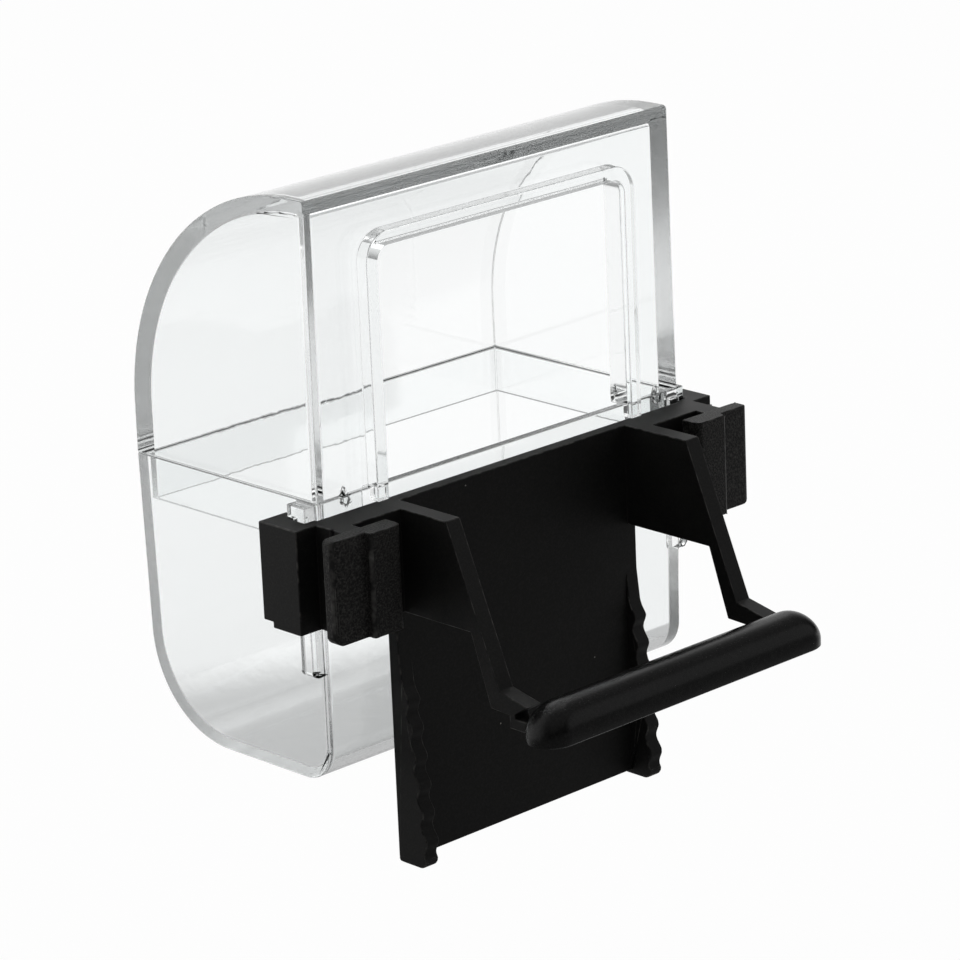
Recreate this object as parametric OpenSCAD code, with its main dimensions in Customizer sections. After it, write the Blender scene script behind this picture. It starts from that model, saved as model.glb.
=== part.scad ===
// Clip-on outside feeder for a bird cage: a clear hood and tray held by a black bracket with a perch.
// Millimetres. X runs along the cage wall, +Y points away from the cage, Z is up.
// The origin is on the cage wall, midway between the wire grooves, level with the bracket's top edge.

/* [Clear box] */
// Outside width of hood and tray where they meet
box_w = 105; // [98:0.5:116]
// Outside depth of hood and tray where they meet
box_d = 56.6; // [52:0.1:64]
// Thickness of the tray's walls
wall = 2; // [1.8:0.1:2.4]
// How far each end wall leans in over the height of its shell
lean = 0.6; // [0.2:0.1:1]
// Gap between pieces that slide past each other
play = 0.3; // [0.2:0.05:0.4]

/* [Hood] */
// Height of the hood above the seam
hood_h = 62.8; // [60:0.1:72]
// Flat strip on top, between the front wall and the arch
hood_flat = 4.7; // [3:0.1:8]
// How far the hood plugs down into the tray
plug_h = 10; // [6:0.5:14]
// Thickness of the plug, which carries on the inside of the hood's walls
plug_t = 1.1; // [1:0.1:1.5]

/* [Doorway] */
// Width of the opening in the hood's front wall
door_w = 70.6; // [60:0.1:74]
// Height of the opening above the seam
door_h = 50.3; // [40:0.1:52]
// Inner corner radius of the opening
door_r = 3; // [2:0.1:6]
// Width of the rib around the opening
rib_w = 3.2; // [2.4:0.1:4]
// How far the rib stands out from the front wall
rib_out = 3; // [2:0.1:4]
// How far the rib's legs run below the seam
rib_foot = 2.5; // [1:0.1:2.6]

/* [Tray] */
// Height of the tray below the seam
tray_h = 61.3; // [56:0.1:66]
// Radius of the tray's lower back edge
tray_back_r = 22.5; // [16:0.5:26]
// Radius of the tray's lower front edge
tray_front_r = 8; // [3:0.5:9]
// How far front and back lean in over the tray's height
tray_lean = 0.8; // [0.7:0.1:1.2]
// How far the slide rails stand out from the end walls
rail_out = 2.8; // [2.4:0.1:3.6]
// Depth of the slide rails from front to back
rail_d = 3.6; // [3.4:0.1:4.6]
// Length of the slide rails below the seam
rail_len = 37; // [34:0.1:42]

/* [Bracket] */
// Width of the bracket over its wings
wing_w = 121; // [118:0.5:124]
// Height of the wings
wing_h = 22.3; // [18:0.1:26]
// How far the wings reach back beside the tray
wing_back = 9; // [8:0.5:14]
// Thickness of the main plate
plate_t = 2.8; // [2.4:0.1:3.2]
// Width of the skirt below the wings
skirt_w = 70.6; // [64:0.1:72]
// Length of the skirt below the bracket's top edge
skirt_len = 78.6; // [70:0.1:86]
// Teeth on each of the skirt's flanges
teeth = 7; // [5:1:8]
// Distance from tooth to tooth
tooth_pitch = 6.1; // [5:0.1:6.4]
// Height of a tooth from valley to tip
tooth_h = 1.2; // [0.6:0.1:1.6]

/* [Wire grooves] */
// Width of the inner groove, for one cage wire
wire_gap = 2.4; // [2.2:0.1:3]
// Thickness of the web that stands between two wires
web_t = 5; // [4:0.1:6]
// Width of each pad in front of the wires
pad_w = 17.2; // [15:0.1:18]
// Thickness of the inner half of a pad
pad_t = 4.9; // [4:0.1:5.5]
// How much further back the outer half of a pad stands
pad_step = 1.7; // [1:0.1:2.4]

/* [Perch] */
// Length of the perch
perch_len = 82.5; // [80:0.5:90]
// Width of the perch
perch_w = 11; // [9.5:0.5:12]
// Height of the straight rim under the perch's round top
perch_rim = 2.6; // [2.2:0.1:3.2]
// Wall thickness of the perch
perch_wall = 1.8; // [1.4:0.1:2.2]
// How far the perch's centre line stands in front of the box
perch_reach = 48.5; // [44:0.5:54]

/* [Hidden] */
$fn = 64;
clear_plastic = [0.86, 0.9, 0.92, 0.35];
black_plastic = [0.06, 0.06, 0.065];
satin_black = [0.09, 0.09, 0.09];
// Overlap that makes joined shapes one solid, and the reach of a cut past a face
bite = 0.5;
// Angle at which a rounding arc cuts its sides, since an arc that only touches them may miss
graze = 1;
// The seam stands this far above the bracket's top edge, and the cage wall this far before the box
seam_rise = 3.2;
wall_y = 8.9;
// Hood
arc_r = box_d - hood_flat;
front_edge_r = 1;
plug_gap = play + 0.1;
plug_in = wall + plug_gap;
hood_wall = plug_in + plug_t;
door_out = door_w / 2 + rib_w;
pip_x = door_out + 6.9;
pip_r = 1.2;
pip_out = 1;
// Tray
rail_front = tray_lean;
rail_back = rail_front + rail_d;
head_back = rail_back + 1.9;
rail_x = box_w / 2 + rail_out;
// Bracket, with faces named by their distance from the box's front
top_z = -seam_rise;
wing_z = top_z - wing_h;
skirt_z = top_z - skirt_len;
plate_back = -play;
plate_front = plate_back - plate_t;
wing_front = plate_back - 2;
pad_back = -wall_y - wire_gap / 2;
pad_front = pad_back - pad_t;
block_front = pad_back + wire_gap;
channel_x = rail_x + play;
channel_y = rail_back + play;
lip_y = 6.3;
lip_step = 1.2;
pad_x = wing_w / 2 - pad_w;
web_x = pad_x + 6.8;
snap_r = 0.5;
// Arms that carry the perch
arm_t = 4;
arm_x = 34.9;
arm_top_y = -21;
arm_bend = [-34.6, -36.3];
arm_heel = [-32, -40.6];
arm_drop_y = -27;
arm_toe = [-42.8, -38];
arm_sole = [-37.3, -40.8];
post_front = [-39, -40.2];
tongue_y = -perch_reach - 1.5;
tongue_z = -41.2;
// Toothed flanges
flange_t = 3.5;
flange_top = -36;
flange_out = 5.5;
flange_z = skirt_z - 1;
flange_r = 2;
heel_r = 1;
tooth_steps = 8;
arc_step = 15;
// Perch
perch_r = perch_w / 2;
perch_top = -35.5;
perch_z = perch_top - perch_r;
perch_foot = perch_z - perch_rim;
perch_end_r = perch_top - perch_foot;
// Keeps two curves of the perch from only just touching
ease = 0.1;

function unit(v) = v / norm(v);
// Distance from corner b to where an arc of radius r leaves its sides
function arc_reach(a, b, c, r) = let (k = unit(a - b) * unit(c - b)) r * sqrt((1 + k) / (1 - k));
// Centre of the arc of radius r that rounds corner b
function arc_centre(a, b, c, r) =
    let (u = unit(a - b), v = unit(c - b)) b + unit(u + v) * r / sqrt((1 - u * v) / 2);

// Polygon whose outer corners are rounded by true arcs, with one radius for each corner
module rounded_polygon(points, radii) {
    n = len(points);
    difference() {
        polygon(points);
        for (i = [0 : n - 1])
            if (radii[i] > 0)
                corner_waste(points[(i + n - 1) % n], points[i], points[(i + 1) % n], radii[i]);
    }
}

// What rounding takes off corner b: the tip outside the arc
module corner_waste(a, b, c, r) {
    m = arc_centre(a, b, c, r);
    d = arc_reach(a, b, c, r);
    difference() {
        polygon([b + unit(a - b) * d, b + (b - m) / 2, b + unit(c - b) * d, m]);
        translate(m) circle(r / cos(graze));
    }
}

// Rectangle from one corner to another, each side given as [from, to]
module rect(across, up) polygon([for (v = up, h = v == up[0] ? across : [across[1], across[0]]) [h, v]]);

// Draws a side view, Y to the right and Z up, and gives it a length along X
module along_x(length) rotate([90, 0, 90]) linear_extrude(length, center = true) children();

// Draws a front view, X to the right and Z up, and fills it from one Y to another
module along_y(from, to) translate([0, to, 0]) rotate([90, 0, 0]) linear_extrude(to - from) children();

// Draws a plan and fills it from one Z to another
module along_z(from, to) translate([0, 0, from]) linear_extrude(to - from) children();

module both_ends() {
    children();
    mirror([1, 0, 0]) children();
}

// Everything is drawn from the box's front face at the seam, then set against the cage wall
module on_cage_wall() translate([0, wall_y, seam_rise]) children();

// The hood's outer form, or with an inset the hollow inside it
module hood_form(inset) {
    low = inset > 0 ? -plug_h - bite : 0;
    half = box_w / 2 - inset;
    top = hood_h - inset;
    back = box_d - inset;
    intersection() {
        along_x(box_w) rounded_polygon(
            [[inset, low], [back, low], [back, top], [inset, top]],
            [0, 0, arc_r - inset, front_edge_r]
        );
        along_y(0, box_d)
            polygon([[-half, low], [half, low], [half - lean, hood_h], [lean - half, hood_h]]);
    }
}

// The doorway's outline, grown outwards by the width of the rib or not at all
module door_outline(grow, foot) {
    half = door_w / 2 + grow;
    top = door_h + grow;
    r = door_r + grow;
    rounded_polygon([[-half, -foot], [half, -foot], [half, top], [-half, top]], [0, 0, r, r]);
}

// A raised inverted U whose legs hang in front of the tray's rim
module door_rib() {
    along_y(-rib_out, wall) difference() {
        door_outline(rib_w, 0);
        door_outline(0, bite);
    }
    along_y(-rib_out, -play) both_ends() rect([door_w / 2, door_out], [-rib_foot, bite]);
}

// Plan of the box's outline at a given inset
module box_plan(inset) rect([inset - box_w / 2, box_w / 2 - inset], [inset, box_d - inset]);

// Teardrop tab that hangs over the tray's rim and keeps the hood in line
module pip() translate([pip_x, 0]) {
    along_y(-pip_out, bite) intersection() {
        teardrop();
        translate([-pip_r, 0]) square(4 * pip_r);
    }
    along_y(-pip_out, -play) teardrop();
}

module teardrop() {
    translate([0, -pip_r / 2]) circle(pip_r);
    polygon([[-pip_r * 0.9, 0], [pip_r * 0.9, 0], [0, 2 * pip_r]]);
}

// The hood's walls are stepped at their foot, and their inner half plugs into the tray
module hood() color(clear_plastic) on_cage_wall() {
    difference() {
        union() {
            hood_form(0);
            along_z(-plug_h, bite) box_plan(plug_in);
        }
        hood_form(hood_wall);
        along_y(-bite, hood_wall + bite) door_outline(0, bite);
        along_z(-plug_h - bite, 0) rect([-door_out, door_out], [-bite, hood_wall + bite]);
    }
    door_rib();
    both_ends() pip();
}

// The tray's outer form, or with an inset the hollow inside it
module tray_form(inset) {
    top = inset > 0 ? bite : 0;
    floor_z = inset - tray_h;
    half = box_w / 2 - inset;
    back = box_d - inset;
    intersection() {
        along_x(box_w) rounded_polygon(
            [[inset, top], [inset + tray_lean, floor_z], [back - tray_lean, floor_z], [back, top]],
            [0, tray_front_r - inset, tray_back_r - inset, 0]
        );
        along_y(-bite, box_d + bite)
            polygon([[-half, top], [lean - half, floor_z], [half - lean, floor_z], [half, top]]);
    }
}

// Rail that slides down the bracket's channel, under a head that stops it
module rail() {
    along_y(rail_front, rail_back) rounded_polygon(
        [[box_w / 2 - wall, -rail_len], [rail_x, -rail_len], [rail_x, -play], [box_w / 2 - wall, -play]],
        [0, rail_out / 2, 0, 0]
    );
    along_z(top_z, -play) rect([box_w / 2 - wall / 2, rail_x], [rail_front, head_back]);
}

module tray() color(clear_plastic) on_cage_wall() {
    difference() {
        union() {
            tray_form(0);
            both_ends() rail();
        }
        tray_form(wall);
    }
}

// Plan of a wing: the channel that takes a rail, and the web and pad that grip the cage wires
module wing_plan() {
    rect([0, wing_w / 2], [wing_front, plate_back]);
    rect([channel_x, wing_w / 2], [wing_front, channel_y + bite]);
    rect([box_w / 2 + play, channel_x + bite], [wing_front, rail_front - play]);
    rect([arm_x, web_x + bite], [block_front, plate_back]);
    rect([web_x, web_x + web_t], [pad_back - bite, wing_front + bite]);
}

// Return lip behind the rail, cut short at its foot
module channel_lip() {
    lip_x = box_w / 2 + play + 0.1;
    along_z(wing_z, top_z) rect([lip_x, wing_w / 2], [channel_y, lip_y]);
    along_z(wing_z + lip_step, top_z) rect([lip_x, wing_w / 2], [lip_y - bite, wing_back]);
}

// Pad in front of the wires: a thick inner half and an outer half that stands back
module pad() {
    mid_x = (pad_x + wing_w / 2) / 2;
    pad_plan_r = 1.5;
    pad_corner_r = 2;
    intersection() {
        along_z(wing_z, top_z) {
            rounded_polygon(
                [[pad_x, pad_back], [pad_x, pad_front], [mid_x, pad_front], [mid_x, pad_back]],
                [0, pad_plan_r, pad_plan_r / 2, 0]
            );
            rounded_polygon(
                [[mid_x - 2, pad_back], [mid_x - 2, pad_front + pad_step],
                    [wing_w / 2, pad_front + pad_step], [wing_w / 2, pad_back]],
                [0, 0, pad_plan_r, 0]
            );
        }
        along_y(pad_front - bite, pad_back + bite) rounded_polygon(
            [[pad_x, wing_z], [wing_w / 2, wing_z], [wing_w / 2, top_z], [pad_x, top_z]],
            [0, pad_corner_r, pad_corner_r / 2, 0]
        );
    }
}

// Ridges on the web that a wire snaps past
module snap_ridges() for (x = [web_x, web_x + web_t])
    translate([x, pad_back + snap_r + wire_gap, wing_z]) cylinder(r = snap_r, h = wing_h);

// Triangular gusset drawn out into an arm, with a toe that enters the perch
module arm() translate([arm_x, 0]) along_x(arm_t) polygon([
    [plate_back - bite, top_z], [arm_top_y, top_z], arm_bend, arm_toe, post_front, [post_front.x, tongue_z],
    [tongue_y, tongue_z], [tongue_y, perch_foot], [arm_sole.x, perch_foot], arm_sole,
    arm_heel, [arm_drop_y, wing_z], [plate_back - bite, wing_z]
]);

// Depth of a flange's toothed edge at a given height
function flange_edge(z) =
    let (down = flange_top - z, first = flange_top - flange_z - (teeth - 0.5) * tooth_pitch)
    plate_front - flange_out * down / (flange_top - flange_z)
        - (down < first ? 0 : tooth_h / 2 * (1 - cos(360 * (down - first) / tooth_pitch)));

// Flange along the skirt's edge whose rounded teeth bear on the cage wall
module toothed_flange() {
    rows = teeth * tooth_steps;
    tooth_z = [for (i = [0 : rows]) flange_z + flange_r + (teeth - 0.5) * tooth_pitch * (1 - i / rows)];
    toe = [flange_edge(flange_z + flange_r) + flange_r, flange_z + flange_r];
    heel = [plate_back - heel_r, flange_z + heel_r];
    translate([skirt_w / 2 - flange_t / 2, 0]) along_x(flange_t) polygon(concat(
        [[plate_back, flange_top], [plate_front, flange_top]],
        [for (z = tooth_z) [flange_edge(z), z]],
        [for (a = [180 + arc_step : arc_step : 270]) toe + flange_r * [cos(a), sin(a)]],
        [for (a = [270 : arc_step : 360]) heel + heel_r * [cos(a), sin(a)]]
    ));
}

module bracket() color(black_plastic) on_cage_wall() {
    along_y(plate_front, plate_back) rect([-skirt_w / 2, skirt_w / 2], [skirt_z, top_z]);
    both_ends() {
        along_z(wing_z, top_z) wing_plan();
        channel_lip();
        pad();
        snap_ridges();
        arm();
        toothed_flange();
    }
}

// The perch's section, a half round on a straight rim
module perch_section(r, low) {
    translate([0, perch_z]) intersection() {
        circle(r);
        translate([-r, 0]) square(2 * r);
    }
    rect([-r, r], [low, perch_z]);
}

// Bar with that section, round ends in plan and swept ends in front view, or the hollow inside it
module perch_form(inset) {
    r = perch_r - inset;
    low = perch_foot - (inset > 0 ? bite : 0);
    top = perch_top - inset + ease;
    tip = perch_len / 2 - inset;
    end_r = perch_end_r - inset;
    side = r + ease;
    translate([0, -perch_reach]) intersection() {
        along_x(perch_len) perch_section(r, low);
        along_y(-perch_w, perch_w) rounded_polygon(
            [[-tip, low - bite], [tip, low - bite], [tip, top], [-tip, top]],
            [0, 0, end_r, end_r]
        );
        along_z(low - bite, top + bite) rounded_polygon(
            [[-tip, -side], [tip, -side], [tip, side], [-tip, side]],
            [r, r, r, r]
        );
    }
}

module perch() color(satin_black) on_cage_wall() difference() {
    perch_form(0);
    perch_form(perch_wall);
    both_ends() along_z(perch_foot - bite, tongue_z)
        rect([arm_x - arm_t / 2, arm_x + arm_t / 2], [-perch_reach, perch_r + bite - perch_reach]);
}

hood();
tray();
bracket();
perch();
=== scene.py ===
# %% [markdown]
# # A clip-on feeder for a bird cage
#
# Four mouldings make this feeder: a clear hood, a clear seed tray, a black bracket that grips
# the cage wires and a black perch. The CAD solids already have the right shapes and sizes.
# This lesson dresses them: soft moulded edges, a perch grown from a rule, clear and black
# plastic with the marks of use, a white studio and a camera. Everything is in metres, in the
# frame that the solids share.

import math

import bmesh
import bpy
from mathutils import Matrix, Vector


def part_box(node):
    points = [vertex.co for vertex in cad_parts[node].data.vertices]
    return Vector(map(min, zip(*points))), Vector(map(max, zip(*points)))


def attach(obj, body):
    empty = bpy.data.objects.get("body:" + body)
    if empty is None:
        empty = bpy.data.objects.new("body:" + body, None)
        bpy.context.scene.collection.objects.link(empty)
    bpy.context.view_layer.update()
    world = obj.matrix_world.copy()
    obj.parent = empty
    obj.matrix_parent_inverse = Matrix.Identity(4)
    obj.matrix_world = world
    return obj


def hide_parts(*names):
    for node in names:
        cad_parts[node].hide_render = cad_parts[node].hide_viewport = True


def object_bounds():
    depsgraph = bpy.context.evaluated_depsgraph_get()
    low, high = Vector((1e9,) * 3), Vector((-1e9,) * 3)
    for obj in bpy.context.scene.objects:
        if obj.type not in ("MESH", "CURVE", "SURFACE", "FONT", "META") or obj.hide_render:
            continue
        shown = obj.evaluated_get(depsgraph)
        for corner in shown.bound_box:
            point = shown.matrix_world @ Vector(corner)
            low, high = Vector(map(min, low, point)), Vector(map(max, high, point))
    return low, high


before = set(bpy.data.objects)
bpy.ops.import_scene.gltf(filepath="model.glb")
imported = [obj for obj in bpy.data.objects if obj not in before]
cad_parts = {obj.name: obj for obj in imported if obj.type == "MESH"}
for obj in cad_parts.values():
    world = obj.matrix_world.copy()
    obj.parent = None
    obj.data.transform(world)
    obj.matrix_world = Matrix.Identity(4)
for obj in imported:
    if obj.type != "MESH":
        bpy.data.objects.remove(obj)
cad_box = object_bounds()
MM = 0.001
size = [round((high - low) / MM, 1) for low, high in zip(*cad_box)]
print("CAD box in mm:", size)

# %% [markdown]
# ## Whole faces first
#
# A CAD mesh comes as loose triangles. That is fine for a solver, but a bevel has to follow the
# real edges of a moulding, and a flat wall cut into slivers has many edges that aren't real.
# So each piece starts as a copy: doubled points are merged, and triangles that lie in one plane
# are joined into whole faces. The CAD object itself is never touched.

# %% Copy a solid with whole faces
DOUBLED = 0.002 * MM
FLAT, ANY_SHAPE = math.radians(0.4), math.pi


def merged_copy(node):
    """A closed mesh of a CAD node, with whole flat faces."""
    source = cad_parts[node]
    mesh = source.data.copy()
    mesh.transform(source.matrix_world)
    mesh.materials.clear()
    shape = bmesh.new()
    shape.from_mesh(mesh)
    bmesh.ops.remove_doubles(shape, verts=shape.verts, dist=DOUBLED)
    bmesh.ops.join_triangles(
        shape, faces=shape.faces, angle_face_threshold=FLAT, angle_shape_threshold=ANY_SHAPE
    )
    for face in shape.faces:
        face.smooth = True
    shape.to_mesh(mesh)
    shape.free()
    return mesh


hood_mesh = merged_copy("hood")
tray_mesh = merged_copy("tray")
bracket_mesh = merged_copy("bracket")
print("whole faces:", [len(m.polygons) for m in (hood_mesh, tray_mesh, bracket_mesh)])

# %% [markdown]
# ## Curves that light can follow
#
# Light that runs along inside a curved clear wall meets it at a very low angle, and there even
# a facet of four degrees shows as a black stripe. The round walls of hood and tray are quarter
# turns about lines along X. Their facets could be smoothed by shading alone, but light inside
# plastic follows the real faces. So the facets are taken out, the arcs at both ends of the wall
# are divided, and narrow strips are laid between them. First the dividing.

# %% Divide the arc at one end of a round wall
SAME_ANGLE = 0.002


def divided_arc(shape, turns, side, stops, set_on_circle):
    """The points of one end's arc, in order, with new ones at all the stops between them."""
    row = sorted((v for v in turns if v.co.x * side > 0), key=turns.get)
    points = [row[0]]
    for goal in row[1:]:
        for stop in stops:
            last = points[-1]
            if turns[last] + SAME_ANGLE < stop < turns[goal] - SAME_ANGLE:
                share = (stop - turns[last]) / (turns[goal] - turns[last])
                edge = shape.edges.get((last, goal))
                new = bmesh.utils.edge_split(edge, last, share)[1]
                set_on_circle(new, stop)
                turns[new] = stop
                points.append(new)
        points.append(goal)
    return points


def fine_stops(angles, step):
    """The given angles in order, with even steps between them."""
    stops = sorted(angles)
    gaps = list(zip(stops, stops[1:]))
    for low, high in gaps:
        parts = math.ceil((high - low) / step)
        stops += [low + (high - low) * i / parts for i in range(1, parts)]
    return sorted(stops)


print("arc points within", SAME_ANGLE, "degrees of each other count as one")

# %% [markdown]
# Now one wall. Its points are those that lie on its circle, and they are known by their angle
# along the quarter turn. A large wall, which carries light a long way, gets strips of about half
# a degree, and a small corner gets strips of three.

# %% Relay one round wall
ON_CIRCLE = 0.03 * MM
QUARTER, MARGIN = 90, 0.5
LARGE_ROUND, LARGE_STEP, SMALL_STEP = 10, 0.6, 3


def relay_wall(shape, y, z, radius, first):
    """Puts narrow strips in place of a round wall's facets, and gives their number."""
    axis = Vector((0, y * MM, z * MM))

    def arm(vert):
        return Vector((0, vert.co.y, vert.co.z)) - axis

    def turn(vert):
        return (math.degrees(math.atan2(arm(vert).z, arm(vert).y)) - first + 90) % 360 - 90

    def set_on_circle(vert, stop):
        angle = math.radians(stop + first)
        spot = axis + Vector((0, math.cos(angle), math.sin(angle))) * radius * MM
        vert.co.y, vert.co.z = spot.y, spot.z

    near = (v for v in shape.verts if abs(arm(v).length - radius * MM) < ON_CIRCLE)
    turns = {v: turn(v) for v in near if MARGIN < turn(v) < QUARTER - MARGIN}
    facets = [f for f in shape.faces if all(v in turns for v in f.verts)]
    bmesh.ops.delete(shape, geom=facets, context="FACES_KEEP_BOUNDARY")
    turns = {v: angle for v, angle in turns.items() if v.is_valid}
    stops = fine_stops(turns.values(), LARGE_STEP if radius > LARGE_ROUND else SMALL_STEP)
    left = divided_arc(shape, turns, -1, stops, set_on_circle)
    right = divided_arc(shape, turns, 1, stops, set_on_circle)
    strips = list(zip(left, left[1:], right[1:], right))
    for strip in strips:
        shape.faces.new(strip).smooth = True
    return len(strips)


print("strips of", LARGE_STEP, "degrees where the radius is over", LARGE_ROUND, "mm")

# %% [markdown]
# The drawing gives the round walls. Each row below is one: the Y and Z of its axis and its radius
# in millimetres, then the angle in degrees where its quarter turn begins. A wall's outside and
# inside are a row each.

# %% Lay strips on true circles
HOOD_ROUNDS = (
    (13.6, 14.1, 51.9, 0),
    (13.6, 14.1, 48.4, 0),
    (9.9, 65.0, 1.0, 90),
    (13.4, 61.5, 1.0, 90),
)
TRAY_ROUNDS = (
    (42.49, -35.6, 22.5, 270),
    (42.47, -35.6, 20.5, 270),
    (17.6, -50.1, 8.0, 180),
    (17.62, -50.1, 6.0, 180),
)


def round_out(mesh, rounds):
    """Relays all the round walls of a piece."""
    shape = bmesh.new()
    shape.from_mesh(mesh)
    strips = sum(relay_wall(shape, *wall) for wall in rounds)
    bmesh.ops.recalc_face_normals(shape, faces=shape.faces)
    shape.to_mesh(mesh)
    shape.free()
    print(mesh.name, "has", strips, "strips on its round walls")


round_out(hood_mesh, HOOD_ROUNDS)
round_out(tray_mesh, TRAY_ROUNDS)

# %% [markdown]
# ## How round is an edge?
#
# No moulding has a knife edge. Outside edges are rounded by a few tenths of a millimetre,
# where the mould's halves meet, and inside corners by less. Deep inside the clear boxes the
# corners are rounder, since the core that shapes them is polished, and a round corner lets the
# plastic flow. The Bevel modifier reads such differences from a weight on each edge: 1 is the
# full width.

# %% Weigh the edges of a moulding
SHARP = math.radians(32)
CORE = 0.5
CLEAR_OUTSIDE, CLEAR_INSIDE = 0.4, 0.25
BLACK_OUTSIDE, BLACK_INSIDE = 1, 0.5
HOOD_CORE = (47.6 * MM, 49.6 * MM)
TRAY_CORE = (49.2 * MM, 50.8 * MM)
NO_CORE = (0, 0)


def weigh_edges(mesh, outside, inside, core):
    """Weights the sharp edges; those of the core lie between two distances from the middle."""
    shape = bmesh.new()
    shape.from_mesh(mesh)
    weights = shape.edges.layers.float.new("bevel_weight_edge")
    rounded = 0
    for edge in shape.edges:
        if len(edge.link_faces) != 2 or edge.calc_face_angle() < SHARP:
            continue
        reach = abs(edge.verts[0].co.x + edge.verts[1].co.x) / 2
        in_core = core[0] < reach < core[1] and not edge.is_convex
        edge[weights] = CORE if in_core else (outside if edge.is_convex else inside)
        rounded += 1
    shape.to_mesh(mesh)
    shape.free()
    print(mesh.name, "has", rounded, "edges to round")


weigh_edges(hood_mesh, CLEAR_OUTSIDE, CLEAR_INSIDE, HOOD_CORE)
weigh_edges(tray_mesh, CLEAR_OUTSIDE, CLEAR_INSIDE, TRAY_CORE)
weigh_edges(bracket_mesh, BLACK_OUTSIDE, BLACK_INSIDE, NO_CORE)

# %% [markdown]
# ## Rounded pieces
#
# The bevel makes three strips of faces along each weighted edge, and the result is turned into
# plain mesh, which is what a library part needs. Where many edges crowd, as on the pads, a bevel
# can push a point a little past the solid, so all points are then kept within the solid's box.
# Smooth shading would now bend the light on the flat walls too. So each point gets the normal
# of the faces around it, weighted by the square of their area: the large faces win, the walls
# stay flat, and only the strips bend the light.

# %% Keep to the box and shade the flats
def keep_in_box(mesh, low, high):
    """Pulls back the few points that the bevel pushes past the solid."""
    for point in mesh.vertices:
        point.co = [min(max(c, a), b) for c, a, b in zip(point.co, low, high)]
    mesh.update()


def shade_flats_first(mesh):
    """Lets the largest faces around each point decide how it is shaded."""
    normals = [Vector() for _ in mesh.vertices]
    for face in mesh.polygons:
        for corner in face.vertices:
            normals[corner] += face.normal * (face.area / MM**2) ** 2
    mesh.normals_split_custom_set_from_vertices([normal.normalized() for normal in normals])


print("box and shading helpers ready")

# %% [markdown]
# The clear pieces get a full width of 1 mm, of which their weights take a part. The black
# bracket, with its fine steps, gets a quarter of that.

# %% Round the hood, the tray and the bracket
CLEAR_ROUND, BLACK_ROUND = 1.0 * MM, 0.25 * MM
BEVEL_STRIPS = 3


def moulding(name, node, mesh, radius):
    """A piece with softened edges, as a plain mesh."""
    piece = bpy.data.objects.new(name, mesh)
    bpy.context.collection.objects.link(piece)
    bevel = piece.modifiers.new("moulded edge", "BEVEL")
    bevel.width = radius
    bevel.segments = BEVEL_STRIPS
    bevel.limit_method = "WEIGHT"
    bevel.use_clamp_overlap = False
    bevel.miter_outer = "MITER_ARC"
    rounded = piece.evaluated_get(bpy.context.evaluated_depsgraph_get())
    plain = bpy.data.meshes.new_from_object(rounded)
    piece.modifiers.clear()
    piece.data = plain
    plain.name = name
    keep_in_box(plain, *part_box(node))
    shade_flats_first(plain)
    print(name, "has", len(plain.polygons), "faces")
    return piece


hood = moulding("clear_hood", "hood", hood_mesh, CLEAR_ROUND)
tray = moulding("clear_tray", "tray", tray_mesh, CLEAR_ROUND)
bracket = moulding("black_bracket", "bracket", bracket_mesh, BLACK_ROUND)

# %% [markdown]
# ## Node helpers
#
# The perch and all the finishes are built from nodes. A node tree written out by hand is
# long, so three small helpers keep it readable: one feeds a socket from a number or from
# another socket, one makes a node with its inputs set, and one makes a sum.

# %% Feed, make and calculate
def feed(tree, value, socket):
    """Sets a socket to a plain value, or links it to another socket."""
    if isinstance(value, bpy.types.NodeSocket):
        tree.links.new(value, socket)
    else:
        socket.default_value = value


def make(tree, kind, **inputs):
    """A node of one kind, with its inputs fed by name."""
    made = tree.nodes.new(kind)
    for label, value in inputs.items():
        feed(tree, value, made.inputs[label.replace("_", " ")])
    return made


def calc(tree, operation, *values):
    """The result of a Math node."""
    made = tree.nodes.new("ShaderNodeMath")
    made.operation = operation
    for value, socket in zip(values, made.inputs):
        feed(tree, value, socket)
    return made.outputs["Value"]


print("node helpers ready")

# %% [markdown]
# ## A perch that follows a rule
#
# The perch is a half-round gutter, open below, and its ends sweep down in round noses. It could
# be cut and filed from a tube, but one rule gives all of it. Points are numbered around the
# section: out over the top, then back along the inside. The section runs along a line, and near
# each tip its width and its height shrink along quarter circles. Geometry Nodes can hold such a
# rule, and its named inputs are the sizes that a maker would ask for.

# %% Number and place points
SIDE_POINTS = 30


def numbered_points(tree):
    """Each point's side, 0 outside or 1 inside, and its step along the way over the top."""
    index = tree.nodes.new("GeometryNodeInputIndex").outputs["Index"]
    inner = calc(tree, "GREATER_THAN", index, SIDE_POINTS - 0.5)
    way_back = calc(tree, "MULTIPLY_ADD", index, -2, 2 * SIDE_POINTS - 1)
    return inner, calc(tree, "MULTIPLY_ADD", inner, way_back, index)


def place_points(tree, geometry, **parts):
    """Moves each point to the given X, Y and Z."""
    place = make(tree, "ShaderNodeCombineXYZ", **parts)
    moved = make(tree, "GeometryNodeSetPosition", Geometry=geometry, Position=place.outputs[0])
    return moved.outputs[0]


print("section of", 2 * SIDE_POINTS, "points")

# %% [markdown]
# The first two points of each side stand at the foot, and so do the last two. The lower of each
# two is moved into the wall and the other up by the same bit, which trims the foot's sharp edges.
# All the points between them lie on the arch, above the straight rim.

# %% The perch's section
FOOT_POINTS = 2


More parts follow.
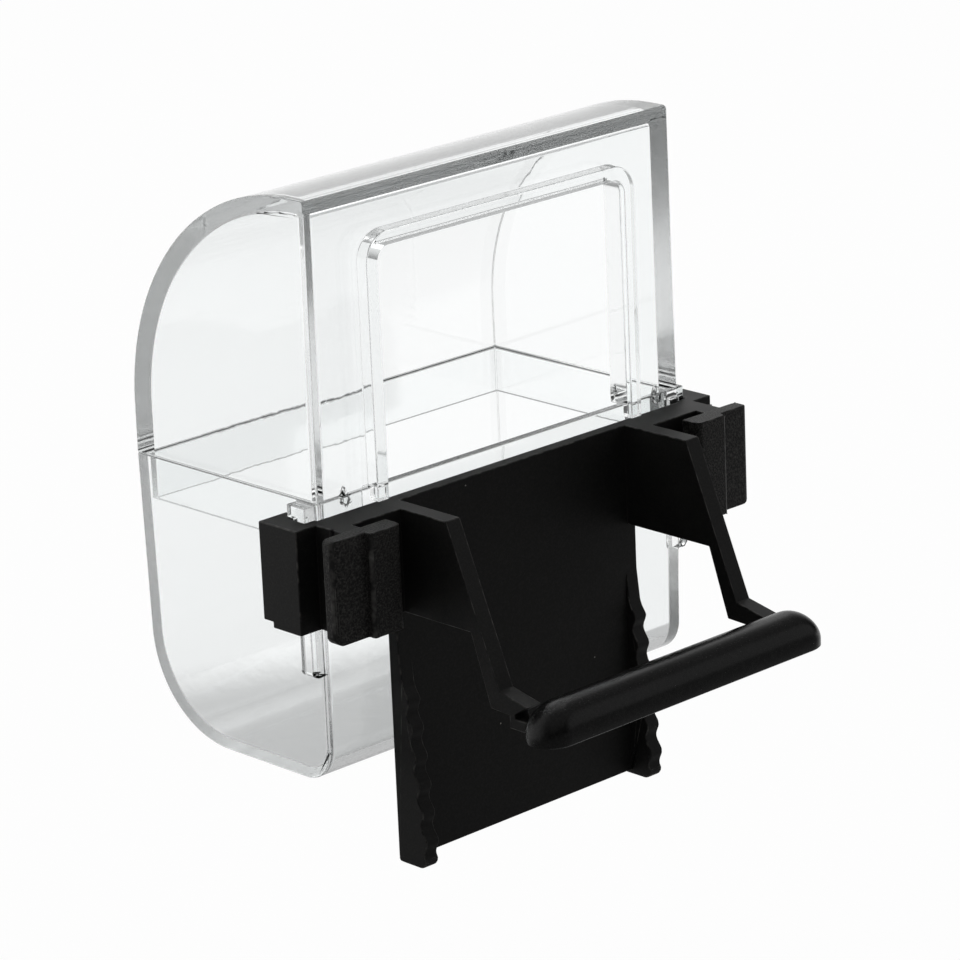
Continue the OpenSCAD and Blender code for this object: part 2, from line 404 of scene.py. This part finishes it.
def gutter_section(tree, given):
    """A closed curve around the wall of the gutter."""
    inner, step = numbered_points(tree)
    last = SIDE_POINTS - 1
    along = calc(tree, "SUBTRACT", step, FOOT_POINTS)
    turn = calc(tree, "DIVIDE", along, last - 2 * FOOT_POINTS)
    share = calc(tree, "MINIMUM", calc(tree, "MAXIMUM", turn, 0), 1)
    angle = calc(tree, "MULTIPLY", share, math.pi)
    off_middle = calc(tree, "ABSOLUTE", calc(tree, "SUBTRACT", step, last / 2))
    foot = calc(tree, "GREATER_THAN", off_middle, last / 2 - 0.5)
    upper = calc(tree, "LESS_THAN", off_middle, last / 2 - FOOT_POINTS + 0.5)
    wall = calc(tree, "MULTIPLY", inner, given["Wall"])
    radius = calc(tree, "SUBTRACT", calc(tree, "MULTIPLY", given["Width"], 0.5), wall)
    to_wall = calc(tree, "MULTIPLY_ADD", inner, -2, 1)
    trim = calc(tree, "MULTIPLY", calc(tree, "MULTIPLY", foot, to_wall), given["Edge"])
    reach = calc(tree, "SUBTRACT", radius, trim)
    across = calc(tree, "MULTIPLY", reach, calc(tree, "COSINE", angle))
    arch = calc(tree, "MULTIPLY_ADD", radius, calc(tree, "SINE", angle), given["Rim"])
    on_arch = calc(tree, "MULTIPLY", upper, arch)
    between = calc(tree, "SUBTRACT", calc(tree, "SUBTRACT", 1, upper), foot)
    rise = calc(tree, "MULTIPLY_ADD", between, given["Edge"], on_arch)
    ring = make(tree, "GeometryNodeMeshCircle", Vertices=2 * SIDE_POINTS)
    placed = place_points(tree, ring.outputs[0], X=across, Y=calc(tree, "MULTIPLY", rise, -1))
    return make(tree, "GeometryNodeMeshToCurve", Mesh=placed).outputs[0]


print("foot edges trimmed over", FOOT_POINTS, "points a side")

# %% [markdown]
# The line that the section runs along has its points crowded towards the tips, as a sine gives
# them, because that is where the shape bends. There two quarter circles bring it to a nose:
# one narrows it, and a longer one lowers it.

# %% The perch's run and its noses
RUN_POINTS = 121


def point_parts(tree):
    """The X, Y and Z of each point."""
    position = tree.nodes.new("GeometryNodeInputPosition").outputs[0]
    return make(tree, "ShaderNodeSeparateXYZ", Vector=position).outputs


def straight_run(tree, given):
    """A line along X with its points crowded towards both ends."""
    line = make(tree, "GeometryNodeCurvePrimitiveLine", Start=(-1, 0, 0), End=(1, 0, 0))
    dotted = make(tree, "GeometryNodeResampleCurve", Curve=line.outputs[0], Count=RUN_POINTS)
    crowd = calc(tree, "SINE", calc(tree, "MULTIPLY", point_parts(tree)["X"], math.pi / 2))
    half = calc(tree, "MULTIPLY", given["Length"], 0.5)
    return place_points(tree, dotted.outputs[0], X=calc(tree, "MULTIPLY", crowd, half))


def taper(tree, length, reach, x):
    """1 along the bar, falling along a quarter circle to 0 at each tip."""
    start = calc(tree, "SUBTRACT", calc(tree, "MULTIPLY", length, 0.5), reach)
    past = calc(tree, "MAXIMUM", calc(tree, "SUBTRACT", calc(tree, "ABSOLUTE", x), start), 0)
    share = calc(tree, "DIVIDE", past, reach)
    left = calc(tree, "SUBTRACT", 1, calc(tree, "MULTIPLY", share, share))
    return calc(tree, "SQRT", calc(tree, "MAXIMUM", left, 0))


def shape_noses(tree, given, bar):
    """Brings both ends of the bar to round noses."""
    spot = point_parts(tree)
    half = calc(tree, "MULTIPLY", given["Width"], 0.5)
    high = calc(tree, "ADD", half, given["Rim"])
    slim = calc(tree, "MULTIPLY", spot["Y"], taper(tree, given["Length"], half, spot["X"]))
    low = calc(tree, "MULTIPLY", spot["Z"], taper(tree, given["Length"], high, spot["X"]))
    return place_points(tree, bar, X=spot["X"], Y=slim, Z=low)


print("run of", RUN_POINTS, "stations")

# %% [markdown]
# Now the tree itself: sweep, shape the noses, weld the tips, cut the two notches in the rear rim
# where the bracket's tongues push in, and move the bar to its place on the bracket's arms.

# %% The perch's node tree
PERCH_SIZES = (
    "Length", "Width", "Rim", "Wall", "Edge", "Notch Place", "Notch Width", "Notch Height"
)
TIP_WELD = 0.004 * MM


def notch(tree, given, side):
    """A box from the bar's middle out through its rear rim."""
    depth = calc(tree, "MULTIPLY", given["Notch Height"], 2)
    size = make(
        tree, "ShaderNodeCombineXYZ", X=given["Notch Width"], Y=given["Width"], Z=depth
    ).outputs[0]
    block = make(tree, "GeometryNodeMeshCube", Size=size).outputs[0]
    x = calc(tree, "MULTIPLY", given["Notch Place"], side)
    y = calc(tree, "MULTIPLY", given["Width"], 0.5)
    place = make(tree, "ShaderNodeCombineXYZ", X=x, Y=y).outputs[0]
    return make(tree, "GeometryNodeTransform", Geometry=block, Translation=place).outputs[0]


def perch_tree():
    """The rule for the perch as a node tree with named inputs."""
    tree = bpy.data.node_groups.new("perch_gutter", "GeometryNodeTree")
    for label in PERCH_SIZES:
        tree.interface.new_socket(label, in_out="INPUT", socket_type="NodeSocketFloat")
    tree.interface.new_socket("Foot", in_out="INPUT", socket_type="NodeSocketVector")
    tree.interface.new_socket("Finish", in_out="INPUT", socket_type="NodeSocketMaterial")
    tree.interface.new_socket("Perch", in_out="OUTPUT", socket_type="NodeSocketGeometry")
    given = tree.nodes.new("NodeGroupInput").outputs
    run, section = straight_run(tree, given), gutter_section(tree, given)
    swept = make(tree, "GeometryNodeCurveToMesh", Curve=run, Profile_Curve=section)
    nosed = shape_noses(tree, given, swept.outputs[0])
    welded = make(tree, "GeometryNodeMergeByDistance", Geometry=nosed, Distance=TIP_WELD)
    cut = make(tree, "GeometryNodeMeshBoolean", Mesh_1=welded.outputs[0])
    for side in (-1, 1):
        tree.links.new(notch(tree, given, side), cut.inputs["Mesh 2"])
    bar = make(tree, "GeometryNodeTransform", Geometry=cut.outputs[0], Translation=given["Foot"])
    smooth = make(tree, "GeometryNodeSetShadeSmooth", Geometry=bar.outputs[0])
    real = make(tree, "GeometryNodeRealizeInstances", Geometry=smooth.outputs[0]).outputs[0]
    dressed = make(tree, "GeometryNodeSetMaterial", Geometry=real, Material=given["Finish"])
    tree.links.new(dressed.outputs[0], tree.nodes.new("NodeGroupOutput").inputs[0])
    return tree


perch_rule = perch_tree()
print("perch rule has", len(perch_rule.nodes), "nodes")

# %% [markdown]
# ## Marks that all the plastics share
#
# A flat colour looks like no material at all. Three small node groups hold what the plastics
# here have in common. Moulded grain is the fine tooth of the mould's steel, with a broad cloud
# in it. Dust is a few pale specks. Scuffs are hair lines from wiping. Each group gives
# only a height or a mask, and each material decides what to do with it.

# %% Group helper and the moulded grain
def shader_group(name, numbers, outputs):
    """A shader node group that takes a place and some numbers, and gives values."""
    tree = bpy.data.node_groups.new(name, "ShaderNodeTree")
    tree.interface.new_socket("Place", in_out="INPUT", socket_type="NodeSocketVector")
    for label in numbers:
        tree.interface.new_socket(label, in_out="INPUT", socket_type="NodeSocketFloat")
    for label in outputs:
        tree.interface.new_socket(label, in_out="OUTPUT", socket_type="NodeSocketFloat")
    given = tree.nodes.new("NodeGroupInput").outputs
    return tree, given, tree.nodes.new("NodeGroupOutput").inputs


def noise(tree, place, scale, detail):
    """A noise texture's value."""
    made = make(tree, "ShaderNodeTexNoise", Vector=place, Scale=scale, Detail=detail)
    return made.outputs["Fac"]


grain, given, results = shader_group("moulded_grain", ("Fine", "Broad"), ("Height", "Cloud"))
feed(grain, noise(grain, given["Place"], given["Fine"], 3.0), results["Height"])
feed(grain, noise(grain, given["Place"], given["Broad"], 2.0), results["Cloud"])
print("group", grain.name)

# %% [markdown]
# Dust uses a Voronoi texture: each cell has one random point, and only a small share of the
# cells show it as a speck. A scuff is where a stretched noise passes through its middle value,
# which is a thin line, and a second noise lets the lines fade out in places.

# %% Dust and scuffs
LEAN, STRETCH = (0.5, 0.7, 0.3), (1, 0.12, 1)
PATCH_SCALE, PATCH_LEVEL = 90.0, 0.55
MIDDLE = 0.5

dust, given, results = shader_group("dust_specks", ("Cells", "Radius", "Share"), ("Mask",))
cells = make(dust, "ShaderNodeTexVoronoi", Vector=given["Place"], Scale=given["Cells"])
chance = make(dust, "ShaderNodeSeparateColor", Color=cells.outputs["Color"])
chosen = calc(dust, "LESS_THAN", chance.outputs[0], given["Share"])
spread = calc(dust, "MULTIPLY", given["Radius"], chance.outputs[1])
speck = calc(dust, "LESS_THAN", cells.outputs["Distance"], spread)
feed(dust, calc(dust, "MULTIPLY", chosen, speck), results["Mask"])

scuffs, given, results = shader_group("hair_scuffs", ("Scale", "Width"), ("Mask",))
leaning = make(scuffs, "ShaderNodeMapping", Vector=given["Place"], Rotation=LEAN, Scale=STRETCH)
wander = noise(scuffs, leaning.outputs[0], given["Scale"], 1.0)
off = calc(scuffs, "ABSOLUTE", calc(scuffs, "SUBTRACT", wander, MIDDLE))
line = calc(scuffs, "LESS_THAN", off, given["Width"])
fade = noise(scuffs, given["Place"], PATCH_SCALE, 1.0)
patch = calc(scuffs, "GREATER_THAN", fade, PATCH_LEVEL)
feed(scuffs, calc(scuffs, "MULTIPLY", line, patch), results["Mask"])
print("groups", dust.name, scuffs.name)

# %% [markdown]
# ## Finish helpers
#
# Every finish starts in the same way: a material, its Principled node, and the piece's own
# coordinates, so that a pattern stays on the piece when it moves.

# %% Start a finish
def new_finish(name):
    """A new material: its tree, its Principled node's inputs and the piece's own coordinates."""
    material = bpy.data.materials.new(name)
    material.use_nodes = True
    tree = material.node_tree
    place = tree.nodes.new("ShaderNodeTexCoord").outputs["Object"]
    return material, tree, tree.nodes["Principled BSDF"].inputs, place


def use_group(tree, group, **inputs):
    """A shader node group in a material, with its inputs fed; gives its outputs."""
    made = tree.nodes.new("ShaderNodeGroup")
    made.node_tree = group
    for label, value in inputs.items():
        feed(tree, value, made.inputs[label])
    return made.outputs


def spread_between(tree, value, low, high):
    """Takes a value from 0 to 1 to a value between two others."""
    return calc(tree, "MULTIPLY_ADD", value, high - low, low)


print("finish helpers ready")

# %% [markdown]
# ## Clear plastic
#
# Hood and tray are clear styrene: light bends at its faces, and a wall seen on its edge looks
# grey because the light has come a long way through it. Volume Absorption gives that grey from
# the true thickness, so no edge has to be painted. The faces aren't quite flat, which
# makes the lines behind them waver, and scuffs blur them a little.
#
# Real mouldings are never so true that light keeps its order while it is thrown to and fro
# inside a wall. In a model it does, and draws hard black streaks. Light Path's Glossy Depth
# tells such light from light that goes straight through. The first kind gets a haze, and the
# second kind stays clear.

# %% Clear styrene
CLEAR_TINT, STYRENE_IOR = (0.99, 1, 1, 1), 1.5
STRAIGHT_HAZE, THROWN_HAZE, SCUFF_BLUR = 0.025, 0.14, 0.12
WAVE_DEPTH = 0.04 * MM
GREY_DENSITY, GREY_TINT = 3.0, (0.5, 0.55, 0.545, 1)

clear, tree, body, place = new_finish("clear_styrene")
body["Base Color"].default_value = CLEAR_TINT
body["IOR"].default_value = STYRENE_IOR
body["Transmission Weight"].default_value = 1
waves = use_group(tree, grain, Place=place, Fine=110.0, Broad=40.0)
marks = use_group(tree, scuffs, Place=place, Scale=60.0, Width=0.002)
thrown = tree.nodes.new("ShaderNodeLightPath").outputs["Glossy Depth"]
straight = calc(tree, "LESS_THAN", thrown, 0.5)
haze = spread_between(tree, straight, THROWN_HAZE, STRAIGHT_HAZE)
feed(tree, calc(tree, "MULTIPLY_ADD", marks["Mask"], SCUFF_BLUR, haze), body["Roughness"])
bump = make(
    tree, "ShaderNodeBump", Height=waves["Height"], Strength=straight, Distance=WAVE_DEPTH
)
feed(tree, bump.outputs[0], body["Normal"])
absorb = make(tree, "ShaderNodeVolumeAbsorption", Density=GREY_DENSITY, Color=GREY_TINT)
feed(tree, absorb.outputs["Volume"], tree.nodes["Material Output"].inputs["Volume"])
print("finish", clear.name)

# %% [markdown]
# ## Black plastics
#
# The bracket is a dull black, with faces that turn grey only at a low angle. The fronts of its
# pads were spark-eroded in the mould, so they have a coarse grain, and its sparkle is painted on
# as pale flecks. Its outer edges are rubbed smoother by wires and fingers, and carry a painted
# highlight of pale flecks. The perch is the same plastic from a polished mould, so it shines
# more. One function makes all four, because they differ only in numbers: the tips of the grain
# are painted pale as glints, many on the edges and the coarse pads and few on the others, and
# dust lies on them all.

# %% One recipe for black plastic
DUST_AND_GLINT_COLOUR = (0.35, 0.34, 0.32, 1)
DUST_CELLS, DUST_RADIUS = 420.0, 0.16
CLOUD_SCALE = 55.0
GLINT_FROM, GLINT_TO = 0.42, 0.72
BLACK_SPECULAR = 0.2


def black_finish(name, colour, shine, fine, depth, dusty, painted_glint):
    """Black plastic with a moulded grain, an uneven shine, painted glints and a little dust."""
    material, tree, body, place = new_finish(name)
    tooth = use_group(tree, grain, Place=place, Fine=fine, Broad=CLOUD_SCALE)
    specks = use_group(
        tree, dust, Place=place, Cells=DUST_CELLS, Radius=DUST_RADIUS, Share=dusty
    )
    # The grain's tips are painted pale as glints, and share one colour with the real dust.
    glint_tips = make(tree, "ShaderNodeMapRange", Value=tooth["Height"], To_Max=painted_glint)
    glint_tips.inputs["From Min"].default_value = GLINT_FROM
    glint_tips.inputs["From Max"].default_value = GLINT_TO
    tint = tree.nodes.new("ShaderNodeMix")
    tint.data_type = "RGBA"
    tint.inputs["A"].default_value = (*colour, 1)
    tint.inputs["B"].default_value = DUST_AND_GLINT_COLOUR
    dust_and_glint = calc(tree, "MAXIMUM", specks["Mask"], glint_tips.outputs["Result"])
    feed(tree, dust_and_glint, tint.inputs["Factor"])
    feed(tree, tint.outputs["Result"], body["Base Color"])
    feed(tree, spread_between(tree, tooth["Cloud"], shine[0], shine[1]), body["Roughness"])
    bump = make(tree, "ShaderNodeBump", Height=tooth["Height"], Strength=1.0, Distance=depth)
    feed(tree, bump.outputs[0], body["Normal"])
    body["Specular IOR Level"].default_value = BLACK_SPECULAR
    print("finish", name)
    return material


print("one recipe, with dust in", DUST_CELLS, "cells to the metre")

# %% [markdown]
# Colour is nearly black in all four. Shine is the lowest and the highest roughness, fine is how
# close the grain is, depth is how deep, dusty is the share of cells with a speck, and the painted
# glint is how pale the tips of the grain are painted, standing in for glints of light.

# %% Four black finishes
dull_black = black_finish(
    "dull_black", (0.009, 0.0088, 0.0085), shine=(0.45, 0.6),
    fine=2500.0, depth=0.02 * MM, dusty=0.03, painted_glint=0.02,
)
# The pads' coarse grain gets painted sparkle: many pale flecks at its tips.
spark_black = black_finish(
    "spark_black", (0.008, 0.0078, 0.0075), shine=(0.45, 0.6),
    fine=2600.0, depth=0.15 * MM, dusty=0.05, painted_glint=0.14,
)
# Painted highlights for the outer edges: pale flecks where light would catch them, with the lower
# roughness of a rubbed edge.
edge_glint_black = black_finish(
    "edge_glint_black", (0.01, 0.0098, 0.0095), shine=(0.3, 0.45),
    fine=420.0, depth=0.02 * MM, dusty=0.05, painted_glint=0.22,
)
satin_black = black_finish(
    "satin_black", (0.006, 0.006, 0.006), shine=(0.18, 0.32),
    fine=1500.0, depth=0.01 * MM, dusty=0.02, painted_glint=0.02,
)

# %% [markdown]
# ## Dress the pieces
#
# The perch's rule gets its length and width from the CAD box, so that the bar fills the same
# space as the solid it stands for. Inputs are set by their identifiers before the modifier
# first runs. The grown bar becomes a plain mesh, and its sharp edges are kept sharp.

# %% Grow the perch
CRISP = math.radians(50)
low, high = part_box("perch")
perch = bpy.data.objects.new("satin_perch", bpy.data.meshes.new("perch seed"))
bpy.context.collection.objects.link(perch)
perch_inputs = {
    "Length": high.x - low.x,
    "Width": high.y - low.y,
    "Rim": 2.6 * MM,
    "Wall": 1.8 * MM,
    "Edge": 0.35 * MM,
    "Notch Place": 34.9 * MM,
    "Notch Width": 4 * MM,
    "Notch Height": 2.4 * MM,
    "Foot": Vector(((low.x + high.x) / 2, (low.y + high.y) / 2, low.z)),
    "Finish": satin_black,
}
grow = perch.modifiers.new("perch rule", "NODES")
grow.node_group = perch_rule
for socket in perch_rule.interface.items_tree:
    if socket.in_out == "INPUT":
        grow[socket.identifier] = perch_inputs[socket.name]
grown = perch.evaluated_get(bpy.context.evaluated_depsgraph_get())
plain = bpy.data.meshes.new_from_object(grown)
perch.modifiers.clear()
perch.data = plain
plain.name = perch.name
shape = bmesh.new()
shape.from_mesh(plain)
bmesh.ops.recalc_face_normals(shape, faces=shape.faces)
shape.to_mesh(plain)
shape.free()
plain.set_sharp_from_angle(angle=CRISP)
print("perch has", len(plain.polygons), "faces")

# %% [markdown]
# The pads are the only part of the bracket with the coarse grain. Their faces are found by
# their place, in front of the cage wires, and get the bracket's second material, with painted
# sparkle. The outer edges get a painted highlight: they are the narrow strips that the bevel
# made, so they are found by their width, and get the third material.

# %% Give the pieces their plastics
PAD_BACK, PAD_FOOT, PAD_SIDE = -1.3 * MM, -24 * MM, 43 * MM
NARROW, WIDE = 0.09 * MM, 0.16 * MM
GRAINED, EDGE_GLINT = 1, 2

for piece in (hood, tray):
    piece.data.materials.append(clear)
for finish in (dull_black, spark_black, edge_glint_black):
    bracket.data.materials.append(finish)
counts = [0, 0, 0]
corners = bracket.data.vertices
for face in bracket.data.polygons:
    x, y, z = face.center
    if abs(x) > PAD_SIDE and y < PAD_BACK and z > PAD_FOOT:
        face.material_index = GRAINED
    longest = max((corners[a].co - corners[b].co).length for a, b in face.edge_keys)
    # Narrow bevel strips on the edges get the painted highlight.
    if NARROW < face.area / longest < WIDE:
        face.material_index = EDGE_GLINT
    counts[face.material_index] += 1
# The third count is the edge faces with the painted highlight.
print("faces of the bracket, dull, grained and rubbed:", counts)

# %% [markdown]
# Each row gives the CAD node that a piece stands for, which is hidden, the body of the
# mechanism that it rides on, and a colour slot's name, which nothing here reads.

# %% Hand the pieces to the frame
riders = {
    hood: ("hood", "hood", "clear"),
    tray: ("tray", "tray", "clear"),
    bracket: ("bracket", "bracket", "black"),
    perch: ("perch", "bracket", "perch_black"),
}
for piece, (node, carrier, slot) in riders.items():
    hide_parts(node)
    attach(piece, carrier)
print("pieces:", [piece.name for piece in riders])

# %% [markdown]
# ## A white studio
#
# Clear plastic shows what is behind it, so the backdrop is half of its look. The floor is pale
# paper. The camera sees it as white. Light that has come through the plastic sees a painted
# shadow on it: grey close to the feeder and white beyond, and that grey gives the lower part of
# the tray a body. Mirrored in the black faces, it is dim in front of the feeder and white behind.
# For the light that falls on the pieces it is plain paper, with their shadow on it.

# %% A soft step and the paper
DIM, WHITE = 0.3, 1.0
PAPER_GREY, PAPER_ROUGH = (0.7, 0.7, 0.7, 1), 0.9
bpy.context.scene.view_settings.view_transform = "Standard"


def ramp(tree, value, start, end, low, high):
    """A soft step from one level to another."""
    made = make(tree, "ShaderNodeMapRange", Value=value, From_Min=start, From_Max=end)
    made.inputs["To Min"].default_value = low
    made.inputs["To Max"].default_value = high
    made.interpolation_type = "SMOOTHSTEP"
    return made.outputs["Result"]


def compare(tree, operation, one, other):
    """The result of a Vector Math node that gives a number."""
    made = tree.nodes.new("ShaderNodeVectorMath")
    made.operation = operation
    feed(tree, one, made.inputs[0])
    feed(tree, other, made.inputs[1])
    return made.outputs["Value"]


paper = bpy.data.materials.new("white_paper")
paper.use_nodes = True
tree = paper.node_tree
sheet = tree.nodes["Principled BSDF"]
sheet.inputs["Roughness"].default_value = PAPER_ROUGH
sheet.inputs["Base Color"].default_value = PAPER_GREY
print("material", paper.name)

# %% [markdown]
# The levels are worked out from the place on the floor, in metres. Behind is the way that the
# camera looks, which is mostly along Y and partly along X.

# %% The floor
BELOW, FLOOR_SIZE = 50 * MM, 8
SHADOW_MIDDLE, SHADOW_EDGE, SHADOW_GREY = (-0.1, -0.11, 0), (0.36, 0.41), 0.55
SIDEWAYS, MIRROR_EDGE, MIRROR_DIM = 0.68, (-0.02, 0.3), 0.2
GLOW_SHARE = 0.97

low, high = cad_box
bpy.ops.mesh.primitive_plane_add(size=FLOOR_SIZE, location=(0, 0, low.z - BELOW))
floor = bpy.context.object
floor.name = "floor"
place = tree.nodes.new("ShaderNodeTexCoord").outputs["Object"]
spot = make(tree, "ShaderNodeSeparateXYZ", Vector=place).outputs
depth = calc(tree, "ADD", calc(tree, "MULTIPLY", spot["X"], SIDEWAYS), spot["Y"])
away = compare(tree, "DISTANCE", place, SHADOW_MIDDLE)
# A painted shadow: grey on the floor near the feeder, seen only through the plastic.
painted_shadow = ramp(tree, away, *SHADOW_EDGE, SHADOW_GREY, WHITE)
mirrored = ramp(tree, depth, *MIRROR_EDGE, MIRROR_DIM, WHITE)
path = tree.nodes.new("ShaderNodeLightPath").outputs
within = calc(tree, "GREATER_THAN", path["Transmission Depth"], 0.5)
shadow_and_mirror = make(tree, "ShaderNodeMix", Factor=within, A=mirrored, B=painted_shadow)
level = calc(tree, "MAXIMUM", shadow_and_mirror.outputs["Result"], path["Is Camera Ray"])
glow = make(tree, "ShaderNodeEmission", Strength=level)
clear_or_gloss = calc(tree, "MAXIMUM", within, path["Is Glossy Ray"])
seen = calc(tree, "MAXIMUM", path["Is Camera Ray"], clear_or_gloss)
mix = make(tree, "ShaderNodeMixShader", Fac=calc(tree, "MULTIPLY", seen, GLOW_SHARE))
tree.links.new(sheet.outputs[0], mix.inputs[1])
tree.links.new(glow.outputs[0], mix.inputs[2])
feed(tree, mix.outputs[0], tree.nodes["Material Output"].inputs["Surface"])
floor.data.materials.append(paper)
print("floor at", round(floor.location.z / MM, 1), "mm")

# %% [markdown]
# The world is the room. It is bright behind the table, weaker above it, and has one window to
# the right of the camera, whose light catches the black edges. In front it is nearly dark, which
# leaves the black fronts black. Light inside the clear walls sees its own backdrop, white but for
# a dim part low down behind, and that part draws the walls' grey outlines. To the camera the
# room is as white as the paper.

# %% The world
BEHIND_EDGE, FRONT_DARK = (-0.1, 0.7), 0.04
ABOVE_EDGE, ABOVE_LEVEL = (0.2, 0.9), 0.35
WINDOW_AIM, WINDOW_EDGE, WINDOW_LEVEL = (0.66, -0.66, 0.36), (0.86, 0.97), 0.6
DIM_EDGE = (0.2, 0.65)
PAPER_WHITE = 0.985

world = bpy.data.worlds.new("studio")
bpy.context.scene.world = world
world.use_nodes = True
tree = world.node_tree
direction = tree.nodes.new("ShaderNodeTexCoord").outputs["Generated"]
aim = make(tree, "ShaderNodeSeparateXYZ", Vector=direction).outputs
behind = ramp(tree, aim["Y"], *BEHIND_EDGE, FRONT_DARK, WHITE)
above = ramp(tree, aim["Z"], *ABOVE_EDGE, 0.0, ABOVE_LEVEL)
facing = compare(tree, "DOT_PRODUCT", direction, WINDOW_AIM)
window = ramp(tree, facing, *WINDOW_EDGE, 0.0, WINDOW_LEVEL)
room = calc(tree, "MAXIMUM", calc(tree, "MAXIMUM", behind, above), window)
overhead = ramp(tree, aim["Z"], 0.0, 1.0, DIM, WHITE)
around = ramp(tree, aim["Y"], *DIM_EDGE, WHITE, DIM)
backdrop = calc(tree, "MAXIMUM", overhead, around)
path = tree.nodes.new("ShaderNodeLightPath").outputs
within = calc(tree, "GREATER_THAN", path["Transmission Depth"], 0.5)
inner = make(tree, "ShaderNodeMix", Factor=within, A=room, B=backdrop).outputs["Result"]
white = make(tree, "ShaderNodeMix", Factor=path["Is Camera Ray"], A=inner, B=PAPER_WHITE)
feed(tree, white.outputs["Result"], tree.nodes["Background"].inputs["Strength"])
tree.nodes["Background"].inputs["Color"].default_value = (1, 1, 1, 1)
print("world:", world.name)

# %% [markdown]
# One soft lamp overhead draws the shadow and models the upper faces. Light that enters a clear
# wall runs along inside it and is thrown back many times before it gets out, so the renderer
# needs far more bounces than usual, or the walls' edges end in black.

# %% Lamp and light paths
LAMP_PLACE = Vector((0.3, 0.5, 0.9))
LAMP_SIZE, LAMP_WATTS = 1.0, 3
ALL_BOUNCES, CLEAR_BOUNCES = 40, 32

data = bpy.data.lights.new("overhead", "AREA")
data.size = LAMP_SIZE
data.energy = LAMP_WATTS
soft_box = bpy.data.objects.new("overhead", data)
bpy.context.collection.objects.link(soft_box)
soft_box.location = LAMP_PLACE
soft_box.rotation_euler = (-LAMP_PLACE).to_track_quat("-Z", "Y").to_euler()
soft_box.visible_camera = False
paths = bpy.context.scene.cycles
paths.max_bounces = ALL_BOUNCES
paths.glossy_bounces = CLEAR_BOUNCES
paths.transmission_bounces = CLEAR_BOUNCES
print("one lamp, and light paths up to", paths.max_bounces, "bounces")

# %% [markdown]
# ## Camera
#
# The camera stands left of the front and a little above, with a long lens, and leans by two
# and a half degrees, as in the photograph. Its three axes are worked out from those angles,
# and its place is given along them.

# %% Set the camera
AZIMUTH, ELEVATION, ROLL = math.radians(-43.141), math.radians(17.673), math.radians(2.485)
ASIDE, UPWARD, DISTANCE = -11.204, -2.779, 935.995
LENS, SENSOR = 168.75, 36

back_axis = Vector((
    math.sin(AZIMUTH) * math.cos(ELEVATION),
    -math.cos(AZIMUTH) * math.cos(ELEVATION),
    math.sin(ELEVATION),
))
right = Vector((0, 0, 1)).cross(back_axis).normalized()
up = back_axis.cross(right)
tilt_right = math.cos(ROLL) * right - math.sin(ROLL) * up
tilt_up = math.sin(ROLL) * right + math.cos(ROLL) * up
place = (ASIDE * tilt_right + UPWARD * tilt_up + DISTANCE * back_axis) * MM
data = bpy.data.cameras.new("camera")
data.lens = LENS
data.sensor_width = SENSOR
camera = bpy.data.objects.new("camera", data)
bpy.context.collection.objects.link(camera)
turn = Matrix((tilt_right, tilt_up, back_axis)).transposed().to_4x4()
camera.matrix_world = Matrix.Translation(place) @ turn
bpy.context.scene.camera = camera
print("camera", round(place.length, 3), "m away")
